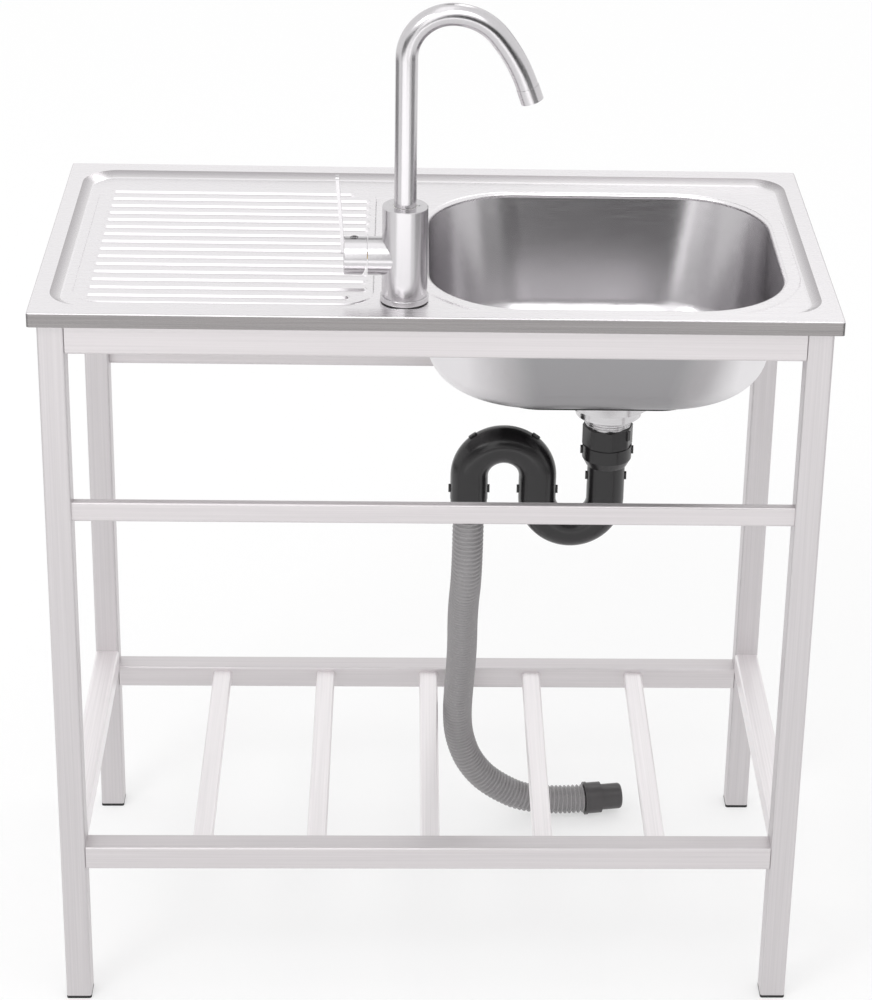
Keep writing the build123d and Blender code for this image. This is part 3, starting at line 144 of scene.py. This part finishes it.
bm = bmesh.new()
pitch = reach[-1] / RIBS
places = [(k + share, radius) for k in range(RIBS) for share, radius in RIB_SHAPE]
places += [(RIBS, RIB_VALLEY)]
loops = [ring(bm, at * pitch, radius / 1000) for at, radius in places]
loops += [ring(bm, at * pitch, BORE) for at in range(RIBS, -1, -1)]
for a, b in zip(loops, loops[1:] + loops[:1]):
    bmesh.ops.bridge_loops(bm, edges=a + b)
bmesh.ops.recalc_face_normals(bm, faces=bm.faces)
mesh = bpy.data.meshes.new("ribbed_hose")
bm.to_mesh(mesh)
bm.free()
mesh.shade_smooth()
ribbed_hose = bpy.data.objects.new("ribbed_hose", mesh)
bpy.context.scene.collection.objects.link(ribbed_hose)
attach(ribbed_hose, "unit")
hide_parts("drain_hose")
print("hose", len(mesh.polygons), "faces")

# %% [markdown]
# ## Small turned details
# Two small things on the real unit are too fine for the frame: the thread that shows between the
# strainer's neck and the black nut, and the dark ring of the plug on top of the tap's hub. The
# thread is a real helix: one small triangle is spun round the outlet while it moves down by one
# pitch a turn. The ring is the same spin of a small circle without the pitch.

# %% Spun rings
STEPS_A_TURN = 48


def spun(name, centre, sides, radius, out, turns=1.0, pitch=0.0):
    """A small closed profile in the XZ plane, spun about an upright axis and lowered by the pitch."""
    bm = bmesh.new()
    start = Matrix.Translation(Vector(centre) + Vector((out, 0, 0)))
    bmesh.ops.create_circle(bm, segments=sides, radius=radius,
                            matrix=start @ Matrix.Rotation(math.radians(90), 4, "X"))
    steps = round(STEPS_A_TURN * turns)
    bmesh.ops.spin(bm, geom=bm.verts[:] + bm.edges[:], cent=centre, axis=(0, 0, 1),
                   dvec=(0, 0, -pitch * turns / steps), angle=math.tau * turns, steps=steps,
                   use_merge=pitch == 0)
    bmesh.ops.holes_fill(bm, edges=[e for e in bm.edges if e.is_boundary], sides=0)
    bmesh.ops.recalc_face_normals(bm, faces=bm.faces)
    mesh = bpy.data.meshes.new(name)
    bm.to_mesh(mesh)
    bm.free()
    mesh.shade_smooth()
    piece = bpy.data.objects.new(name, mesh)
    bpy.context.scene.collection.objects.link(piece)
    print(name, len(mesh.polygons), "faces")
    return piece


THREAD_TOP = Vector((0.174, -0.013, 0.5765))
OUTLET_RADIUS = 0.0222
outlet_thread = spun("outlet_thread", THREAD_TOP, sides=3, radius=0.0011, out=OUTLET_RADIUS,
                     turns=3.4, pitch=0.0026)
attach(outlet_thread, "unit")

RING_LIFT = 0.0008
plug_low, plug_high = (Vector(corner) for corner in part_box("handle_screw"))
plug_middle = (plug_low + plug_high) / 2
plug_top = Vector((plug_middle.x, plug_middle.y, plug_high.z + RING_LIFT))
plug_ring = spun("hub_plug_ring", plug_top, sides=10, radius=0.0005, out=0.0033)
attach(plug_ring, "handle")

# %% [markdown]
# ## Finishes
# Nearly everything here is bare metal or moulded plastic. A Principled shader does both: metal is
# metallic 1 with the metal's own colour, plastic is metallic 0. What makes them look real is the
# fine structure on top, which a few nodes give: brushing is noise squeezed along one direction,
# and a moulded skin is a weak fine noise. All of them read Object coordinates, so that the
# pattern stays on the piece when it moves.

# %% Node helpers
def finish(name, colour, metallic, roughness):
    """A new material with a Principled shader set to plain values."""
    material = bpy.data.materials.new(name)
    material.use_nodes = True
    shader = material.node_tree.nodes["Principled BSDF"]
    shader.inputs["Base Color"].default_value = (*colour, 1)
    shader.inputs["Metallic"].default_value = metallic
    shader.inputs["Roughness"].default_value = roughness
    return material, shader


def node(material, kind, **sockets):
    """A new node with its sockets set by name, or linked where the value is another socket."""
    made = material.node_tree.nodes.new(kind)
    for socket, value in sockets.items():
        target = made.inputs[socket.replace("_", " ")]
        if isinstance(value, bpy.types.NodeSocket):
            material.node_tree.links.new(value, target)
        else:
            target.default_value = value
    return made


def stretched_noise(material, stretch, detail=4.0):
    """Noise in Object coordinates, finer along some axes than along others."""
    coordinates = node(material, "ShaderNodeTexCoord")
    mapping = node(material, "ShaderNodeMapping", Vector=coordinates.outputs["Object"], Scale=stretch)
    return node(material, "ShaderNodeTexNoise", Vector=mapping.outputs["Vector"], Scale=1.0,
                Detail=detail).outputs["Fac"]


def ramp(material, factor, *stops):
    """A colour ramp from (position, colour) stops."""
    made = node(material, "ShaderNodeValToRGB", Fac=factor)
    elements = made.color_ramp.elements
    while len(elements) < len(stops):
        elements.new(0.5)
    for element, (position, colour) in zip(elements, stops):
        element.position = position
        element.color = (*colour, 1)
    return made.outputs["Color"]


def dress(material, *names):
    """Gives the CAD nodes this material alone."""
    for name in names:
        nodes[name].data.materials.clear()
        nodes[name].data.materials.append(material)


# %% [markdown]
# ### Brushed steel
# Stainless sheet and tube come with a fine grain from the belt that ground them, along the length
# of the piece. The grain does three things: it varies the colour a little, it varies the
# roughness, and it tilts the surface. One stretched noise drives all three. The frame's tubes are
# satin, the deck is smoother, and the hem's edge band carries painted shade, darker than the top.

# %% Brushed steel
def brushed(name, colour, roughness, stretch, depth=0.12, contrast=0.05, metallic=1.0):
    """Steel with a fine grain, in its colour, its roughness and its surface."""
    material, shader = finish(name, colour, metallic, roughness)
    grain = stretched_noise(material, stretch)
    links = material.node_tree.links
    dark = tuple(max(c * (1 - contrast), 0) for c in colour)
    light = tuple(min(c * (1 + contrast), 1) for c in colour)
    links.new(ramp(material, grain, (0.3, dark), (0.7, light)), shader.inputs["Base Color"])
    rough = node(material, "ShaderNodeMapRange", Value=grain, To_Min=roughness * 0.85,
                 To_Max=roughness * 1.15)
    links.new(rough.outputs["Result"], shader.inputs["Roughness"])
    bump = node(material, "ShaderNodeBump", Height=grain, Strength=depth, Distance=0.0002)
    links.new(bump.outputs["Normal"], shader.inputs["Normal"])
    return material, shader


SATIN = (0.665, 0.635, 0.645)
frame_x, _ = brushed("frame_steel_across", SATIN, 0.42, (5, 600, 600), metallic=0.75)
# The front-to-back tubes are painted lighter, a painted light against the shade the deck casts on them.
frame_deep_lightened, _ = brushed("frame_steel_deep_lightened", (0.90, 0.87, 0.88), 0.42, (600, 5, 600), metallic=0.75)
frame_z, _ = brushed("frame_steel_upright", (0.62, 0.595, 0.605), 0.42, (600, 600, 5), metallic=0.75)
sheet_steel, sheet_shader = brushed("sheet_steel", (0.83, 0.81, 0.825), 0.27, (8, 800, 800), depth=0.06,
                                    contrast=0.02)
bowl_steel, bowl_shader = brushed("bowl_steel", (0.53, 0.515, 0.53), 0.25, (30, 1500, 1500), depth=0.02,
                                  contrast=0.02)
small_steel, _ = brushed("small_steel", (0.62, 0.62, 0.63), 0.22, (600, 600, 8))
turned_steel, _ = brushed("turned_steel", (0.64, 0.63, 0.64), 0.2, (60, 60, 900), depth=0.08)
tap_metal, _ = brushed("tap_satin", (0.61, 0.595, 0.61), 0.23, (500, 500, 6), depth=0.04, contrast=0.02)
print("steel finishes", len([m for m in bpy.data.materials if "steel" in m.name]))

# %% Painted shade on the deck's hem
# The hem is the band between its two bends, and its dark colour there is painted shade.
# Away from the deck's outer edge nothing changes.
BEND_BAND = 0.0012
UPRIGHT_LIMIT = 0.3
_, hem_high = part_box("sink_deck")
place = node(sheet_steel, "ShaderNodeSeparateXYZ",
             Vector=node(sheet_steel, "ShaderNodeTexCoord").outputs["Object"])
facing = node(sheet_steel, "ShaderNodeSeparateXYZ",
              Vector=node(sheet_steel, "ShaderNodeNewGeometry").outputs["Normal"])


def maths(material, operation, first, second):
    """One Math node's result."""
    made = material.node_tree.nodes.new("ShaderNodeMath")
    made.operation = operation
    for slot_in, value in zip(made.inputs, (first, second)):
        if isinstance(value, bpy.types.NodeSocket):
            material.node_tree.links.new(value, slot_in)
        else:
            slot_in.default_value = value
    return made.outputs["Value"]


below_bend = maths(sheet_steel, "LESS_THAN", place.outputs["Z"], hem_high[2] - BEND_BAND)
upright = maths(sheet_steel, "LESS_THAN", maths(sheet_steel, "ABSOLUTE", facing.outputs["Z"], 0.0),
                UPRIGHT_LIMIT)
far_y = maths(sheet_steel, "GREATER_THAN", maths(sheet_steel, "ABSOLUTE", place.outputs["Y"], 0.0),
              hem_high[1] - BEND_BAND)
far_x = maths(sheet_steel, "GREATER_THAN", maths(sheet_steel, "ABSOLUTE", place.outputs["X"], 0.0),
              hem_high[0] - BEND_BAND)
on_edge = maths(sheet_steel, "MAXIMUM", far_x, far_y)
hem_shade_mask = maths(sheet_steel, "MULTIPLY", maths(sheet_steel, "MULTIPLY", below_bend, upright), on_edge)
old_colour = sheet_shader.inputs["Base Color"].links[0].from_socket
# Painted shade: the hem band's dark colour, streaked along the upright like the grain.
painted_shade = stretched_noise(sheet_steel, (4, 4, 1500))
hem_shade_colour = ramp(sheet_steel, painted_shade, (0.3, (0.235, 0.225, 0.225)), (0.7, (0.315, 0.30, 0.30)))


def blended(material, share, first, second):
    """A colour that goes from the first to the second with the share."""
    made = material.node_tree.nodes.new("ShaderNodeMix")
    made.data_type = "RGBA"
    for socket, value in (("Factor", share), ("A", first), ("B", second)):
        material.node_tree.links.new(value, made.inputs[socket])
    return made.outputs["Result"]


hem_shaded = blended(sheet_steel, hem_shade_mask, old_colour, hem_shade_colour)
print("hem band ground darker")

# %% Painted shade on the recess wall
# The sloped wall round the recess gets painted shade, darkest at the top of the slope. The
# slope is where the normal leans: its upright share is between these two.
WALL_DROP = 0.0042
STEEPEST, FLATTEST = 0.85, 0.97
on_slope = maths(sheet_steel, "MULTIPLY", maths(sheet_steel, "LESS_THAN", facing.outputs["Z"], FLATTEST),
                 maths(sheet_steel, "GREATER_THAN", facing.outputs["Z"], STEEPEST))
above_floor = maths(sheet_steel, "GREATER_THAN", place.outputs["Z"], hem_high[2] - WALL_DROP)
wall_shade_height = node(sheet_steel, "ShaderNodeMapRange", Value=place.outputs["Z"],
              From_Min=hem_high[2] - WALL_DROP, From_Max=hem_high[2])
# Painted shade, from pale grey at the foot of the wall to dark grey at its top.
wall_shade_colour = ramp(sheet_steel, wall_shade_height.outputs["Result"], (0.0, (0.70, 0.68, 0.69)),
                   (0.55, (0.52, 0.50, 0.515)), (1.0, (0.42, 0.40, 0.41)))
wall_shade_mask = maths(sheet_steel, "MULTIPLY", on_slope, above_floor)
sheet_steel.node_tree.links.new(blended(sheet_steel, wall_shade_mask, hem_shaded, wall_shade_colour),
                                sheet_shader.inputs["Base Color"])
print("deck top", round(hem_high[2], 4), "m")

# %% [markdown]
# ### Bowl, ground inside, outside with a painted reflection
# The bowl's inside is ground and takes dark reflections, and its outside keeps the softer skin of
# the rolled sheet. One node carries both faces, so the shader asks which side it is on: the inside
# faces look towards the bowl's middle and the outside faces away from it. That is the sign of the
# dot product of the normal and the arrow from the bowl's middle. The outside's colour is a painted
# reflection: darkest on its flat front and back and paler round its corners, so its ramp reads how
# far the normal turns sideways.

# %% Bowl finish
OUTSIDE_ROUGHER = 0.14
bowl_low, bowl_high = (Vector(corner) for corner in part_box("sink_bowl"))
bowl_middle = (bowl_low + bowl_high) / 2 + Vector((0, 0, bowl_high.z - bowl_low.z))
arrow = node(bowl_steel, "ShaderNodeVectorMath",
             Vector=node(bowl_steel, "ShaderNodeTexCoord").outputs["Object"])
arrow.operation = "SUBTRACT"
arrow.inputs[1].default_value = bowl_middle
away = node(bowl_steel, "ShaderNodeVectorMath", Vector=arrow.outputs["Vector"])
away.operation = "DOT_PRODUCT"
bowl_steel.node_tree.links.new(node(bowl_steel, "ShaderNodeNewGeometry").outputs["Normal"],
                               away.inputs[1])
outside = maths(bowl_steel, "GREATER_THAN", away.outputs["Value"], 0.0)
bowl_facing = node(bowl_steel, "ShaderNodeSeparateXYZ",
                   Vector=node(bowl_steel, "ShaderNodeNewGeometry").outputs["Normal"])
sideways = maths(bowl_steel, "ABSOLUTE", bowl_facing.outputs["X"], 0.0)
# Painted reflection on the outside: darkest where it faces front and back, pale round its corners.
outside_painted_reflection = ramp(bowl_steel, sideways, (0.02, (0.36, 0.355, 0.365)), (0.25, (0.52, 0.51, 0.52)),
                   (0.60, (0.83, 0.815, 0.83)))
inside_colour = bowl_shader.inputs["Base Color"].links[0].from_socket
bowl_steel.node_tree.links.new(blended(bowl_steel, outside, inside_colour, outside_painted_reflection),
                               bowl_shader.inputs["Base Color"])
inside_rough = bowl_shader.inputs["Roughness"].links[0].from_socket
outside_rough = maths(bowl_steel, "MULTIPLY", outside, OUTSIDE_ROUGHER)
bowl_steel.node_tree.links.new(maths(bowl_steel, "ADD", inside_rough, outside_rough),
                               bowl_shader.inputs["Roughness"])
print("bowl middle", [round(v, 3) for v in bowl_middle])

# %% [markdown]
# ### Plastics, rubber and brass
# The trap is glossy black polypropylene: its colour is nearly black, and what the eye sees is the
# room in its skin, so the roughness is low and a weak noise ripples the skin as moulding does. The
# hose is a mid grey, the end piece a darker grey. Rubber is matt, with a fine grain. Brass has a
# slight mottling. The frame's grain runs along each tube, so the tubes get one of three finishes
# by the way they lie. The front-to-back tubes and slats are also painted lighter, a painted light
# against the shade under the deck, and the upright legs are a little darker.

# %% Moulded and rubber finishes
def moulded(name, colour, roughness, grain=300.0, depth=0.05):
    """Plastic or rubber with a weak fine grain in its skin and its gloss."""
    material, shader = finish(name, colour, 0.0, roughness)
    skin = stretched_noise(material, (grain, grain, grain), detail=2.0)
    links = material.node_tree.links
    rough = node(material, "ShaderNodeMapRange", Value=skin, To_Min=roughness * 0.8,
                 To_Max=roughness * 1.2)
    links.new(rough.outputs["Result"], shader.inputs["Roughness"])
    bump = node(material, "ShaderNodeBump", Height=skin, Strength=depth, Distance=0.0003)
    links.new(bump.outputs["Normal"], shader.inputs["Normal"])
    return material


black_plastic = moulded("trap_black_plastic", (0.012, 0.011, 0.012), 0.24, 120.0, 0.03)
grey_plastic = moulded("hose_grey_plastic", (0.31, 0.30, 0.305), 0.26, 400.0)
dark_plastic = moulded("connector_dark_plastic", (0.062, 0.058, 0.06), 0.35, 400.0)
rubber = moulded("black_rubber", (0.012, 0.012, 0.012), 0.6, 900.0, 0.15)
white_plastic = moulded("white_plastic", (0.78, 0.78, 0.75), 0.4, 500.0)
brass, _ = brushed("brass", (0.72, 0.55, 0.28), 0.3, (90, 90, 90))

by_slot = {"frame_steel": frame_x, "foot_plastic": rubber, "fastener_steel": small_steel,
           "sink_steel": sheet_steel, "pad_black": rubber, "strainer_steel": turned_steel,
           "trap_plastic": black_plastic, "seal_rubber": rubber, "hose_plastic": grey_plastic,
           "connector_plastic": dark_plastic, "tap_chrome": tap_metal, "tap_brass": brass,
           "inner_plastic": white_plastic}
for part in frame["record"]["subparts"]:
    dress(by_slot[part["material_slot"]], part["node"])
dress(frame_z, *[n for n in nodes if n.endswith("_leg")])
SIDE_RAILS = ("left_top_rail", "right_top_rail", "left_shelf_rail", "right_shelf_rail")
dress(frame_deep_lightened, *[n for n in nodes if n.startswith("shelf_slat") or n in SIDE_RAILS])
dress(bowl_steel, "sink_bowl")
dress(small_steel, "cartridge_nut")
ribbed_hose.data.materials.append(grey_plastic)
outlet_thread.data.materials.append(turned_steel)
plug_ring.data.materials.append(dark_plastic)

# %% [markdown]
# ## Studio
# The photograph is a packshot on white. A white world lights the object evenly, a large pale floor
# catches its soft shadow, and one soft lamp gives the light a direction. Polished metal shows what
# stands round it, and in an all-white room it looks flat, so photographers hang grey cards and
# bright panels beside it. Those here are seen in reflections only, so they light nothing.

# %% Floor and world
FLOOR_HALF_SIDE = 12
floor_mesh = bpy.data.meshes.new("floor")
bm = bmesh.new()
bmesh.ops.create_grid(bm, x_segments=1, y_segments=1, size=FLOOR_HALF_SIDE)
bm.to_mesh(floor_mesh)
bm.free()
floor = bpy.data.objects.new("floor", floor_mesh)
bpy.context.scene.collection.objects.link(floor)
floor_paint, floor_shader = finish("floor_paint", (0.97, 0.97, 0.97), 0.0, 0.95)
floor_mesh.materials.append(floor_paint)

# The page is white where the camera or a mirror sees the floor. The shadow stays, half as deep.
SHADOW_SHARE = 0.5
rays = node(floor_paint, "ShaderNodeLightPath").outputs
seen = maths(floor_paint, "MAXIMUM", rays["Is Camera Ray"],
             maths(floor_paint, "MAXIMUM", rays["Is Glossy Ray"], rays["Is Transmission Ray"]))
white_page = node(floor_paint, "ShaderNodeEmission", Color=(1, 1, 1, 1), Strength=1.0)
page_mix = node(floor_paint, "ShaderNodeMixShader",
                Fac=maths(floor_paint, "MULTIPLY", seen, 1 - SHADOW_SHARE))
floor_output = floor_paint.node_tree.nodes["Material Output"]
floor_links = floor_paint.node_tree.links
floor_links.new(floor_shader.outputs["BSDF"], page_mix.inputs[1])
floor_links.new(white_page.outputs["Emission"], page_mix.inputs[2])
floor_links.new(page_mix.outputs["Shader"], floor_output.inputs["Surface"])

world = bpy.data.worlds.new("studio")
bpy.context.scene.world = world
world.use_nodes = True
sky = world.node_tree.nodes["Background"]
sky.inputs["Color"].default_value = (1, 1, 1, 1)
sky.inputs["Strength"].default_value = 1.0
print("floor", 2 * FLOOR_HALF_SIDE, "m a side, world", world.name)


# %% Cards and panels that only reflections see
# The sectors on the floor stripe the upright tap. The others stand where the bowl, the arch and
# the deck look. A strength of 1 is the white of the room, so less is a grey card.
CARD_LIFT = 0.004


def hang(name, bm, strength):
    """Makes a card of a bmesh: a plain glow that only mirrors see."""
    mesh = bpy.data.meshes.new(name)
    bm.to_mesh(mesh)
    bm.free()
    panel = bpy.data.objects.new(name, mesh)
    bpy.context.scene.collection.objects.link(panel)
    paint = bpy.data.materials.new(name)
    paint.use_nodes = True
    glow = node(paint, "ShaderNodeEmission", Color=(1, 1, 1, 1), Strength=strength)
    paint.node_tree.links.new(glow.outputs["Emission"],
                              paint.node_tree.nodes["Material Output"].inputs["Surface"])
    mesh.materials.append(paint)
    for ray in ("camera", "diffuse", "transmission", "volume_scatter", "shadow"):
        setattr(panel, "visible_" + ray, False)


def card(name, place, aim, width, height, strength):
    """A flat card at a place, facing a point."""
    bm = bmesh.new()
    turn = (Vector(aim) - Vector(place)).to_track_quat("Z", "Y").to_matrix().to_4x4()
    bmesh.ops.create_grid(bm, x_segments=1, y_segments=1, size=0.5,
                          matrix=Matrix.Translation(place) @ turn @ Matrix.Diagonal((width, height, 1, 1)))
    hang(name, bm, strength)


def floor_card(name, start, end, strength, inner=2.0, outer=3.8):
    """A sector on the floor round the tap, between two angles from straight in front, right is plus."""
    bm = bmesh.new()
    axis = Vector(((tap_low[0] + tap_high[0]) / 2, (tap_low[1] + tap_high[1]) / 2, CARD_LIFT))
    out = Matrix.Rotation(math.radians(start), 3, "Z") @ Vector((0, -1, 0))
    edge = bm.edges.new([bm.verts.new(axis + out * inner), bm.verts.new(axis + out * outer)])
    bmesh.ops.spin(bm, geom=[edge, *edge.verts], cent=axis, axis=(0, 0, 1),
                   angle=math.radians(end - start), steps=12)
    hang(name, bm, strength)


tap_low, tap_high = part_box("tap_base_ring")
floor_card("light_low", -42, 30, 2.0)
floor_card("card_low_right", 50, 92, 0.22)
floor_card("card_low_left", -140, -84, 0.25)
card("light_front", (-0.52, -2.6, 1.95), (-0.1, 0, 0.8), 1.1, 2.3, 1.8)
card("card_front", (0.24, -0.9, 0.97), (0.17, 0.12, 0.7), 0.58, 0.44, 0.0)
card("card_front_right", (0.81, -0.95, 0.95), (0.17, 0.12, 0.7), 0.8, 0.4, 0.22)
card("card_front_left", (-0.70, -0.95, 0.95), (0.17, 0.12, 0.7), 0.8, 0.4, 0.18)
card("card_above", (-0.05, 2.2, 3.0), (-0.05, 0, 0.9), 0.6, 1.3, 0.30)
card("light_back", (0.56, 2.05, 3.2), (0.2, -0.1, 0.69), 0.6, 1.2, 3.2)
card("light_above", (-0.4, -0.45, 3.1), (-0.3, 0, 0.76), 1.1, 1.7, 1.5)
card("light_bowl", (0.45, -2.2, 2.9), (0.16, 0, 0.7), 1.7, 1.3, 3.4)
card("card_back", (1.05, 3.0, 0.95), (-0.33, 0, 0.76), 1.5, 0.65, 0.25)


# %% Soft lamp
def softbox(name, place, aim, size, watts):
    """A square area lamp at a place, facing a point."""
    lamp = bpy.data.objects.new(name, bpy.data.lights.new(name, "AREA"))
    bpy.context.scene.collection.objects.link(lamp)
    lamp.data.size = size
    lamp.data.energy = watts
    lamp.location = place
    lamp.rotation_euler = (Vector(aim) - Vector(place)).to_track_quat("-Z", "Y").to_euler()
    print("lamp", name, watts, "W")


softbox("key", (-1.6, -1.8, 2.6), (0, 0, 0.5), 0.9, 14)
bpy.context.scene.view_settings.view_transform = "Standard"
